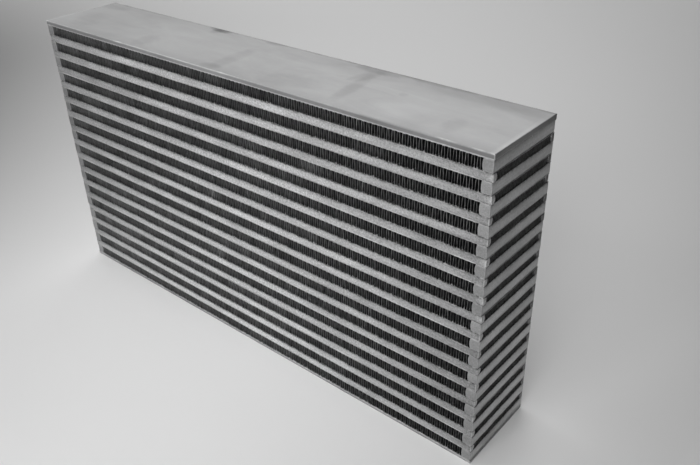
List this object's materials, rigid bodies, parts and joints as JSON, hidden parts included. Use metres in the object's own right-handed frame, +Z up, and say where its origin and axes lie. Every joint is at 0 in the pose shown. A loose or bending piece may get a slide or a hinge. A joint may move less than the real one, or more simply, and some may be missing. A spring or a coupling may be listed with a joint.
{
  "type": "hydraulic oil cooler core",
  "caption": "Bare bar-and-plate core of a hydraulic oil cooler: a brazed stack of finned air layers and oil channels between two side plates, open at both ends for welded tanks.",
  "frame": {"origin": "middle of the underside, where the core stands", "axes": "+X along the length, the way the oil flows, to the right seen from the front; +Y along the depth, the way the air flows, with the front face at -Y; +Z up through the stack"},
  "size_m": [0.56, 0.09, 0.3],
  "materials": {
    "side_plate": "rolled plate, satin, dulled and clouded by brazing",
    "sheet": "braze-clad sheet, sheared edges",
    "air_bar": "drawn bar, mill finish, sawn ends",
    "oil_bar": "drawn bar, mill finish with fine lengthwise streaks",
    "air_fin": "thin rolled strip, dulled by brazing",
    "turbulator": "thin rolled strip, dulled by brazing"
  },
  "bodies": {
    "root": {"bottom_side_plate": "side_plate", "top_side_plate": "side_plate", "bottom_outer_sheet": "sheet", "top_outer_sheet": "sheet", "parting_sheets_01": "sheet", "parting_sheets_02": "sheet", "parting_sheets_03": "sheet", "parting_sheets_04": "sheet", "parting_sheets_05": "sheet", "parting_sheets_06": "sheet", "parting_sheets_07": "sheet", "parting_sheets_08": "sheet", "parting_sheets_09": "sheet", "parting_sheets_10": "sheet", "parting_sheets_11": "sheet", "parting_sheets_12": "sheet", "parting_sheets_13": "sheet", "parting_sheets_14": "sheet", "parting_sheets_15": "sheet", "parting_sheets_16": "sheet", "left_air_bars": "air_bar", "right_air_bars": "air_bar", "front_oil_bars": "oil_bar", "rear_oil_bars": "oil_bar", "air_fin_01": "air_fin", "air_fin_02": "air_fin", "air_fin_03": "air_fin", "air_fin_04": "air_fin", "air_fin_05": "air_fin", "air_fin_06": "air_fin", "air_fin_07": "air_fin", "air_fin_08": "air_fin", "air_fin_09": "air_fin", "air_fin_10": "air_fin", "air_fin_11": "air_fin", "air_fin_12": "air_fin", "air_fin_13": "air_fin", "air_fin_14": "air_fin", "air_fin_15": "air_fin", "air_fin_16": "air_fin", "air_fin_17": "air_fin", "oil_turbulator_01": "turbulator", "oil_turbulator_02": "turbulator", "oil_turbulator_03": "turbulator", "oil_turbulator_04": "turbulator", "oil_turbulator_05": "turbulator", "oil_turbulator_06": "turbulator", "oil_turbulator_07": "turbulator", "oil_turbulator_08": "turbulator", "oil_turbulator_09": "turbulator", "oil_turbulator_10": "turbulator", "oil_turbulator_11": "turbulator", "oil_turbulator_12": "turbulator", "oil_turbulator_13": "turbulator", "oil_turbulator_14": "turbulator", "oil_turbulator_15": "turbulator", "oil_turbulator_16": "turbulator"}
  },
  "joints": []
}
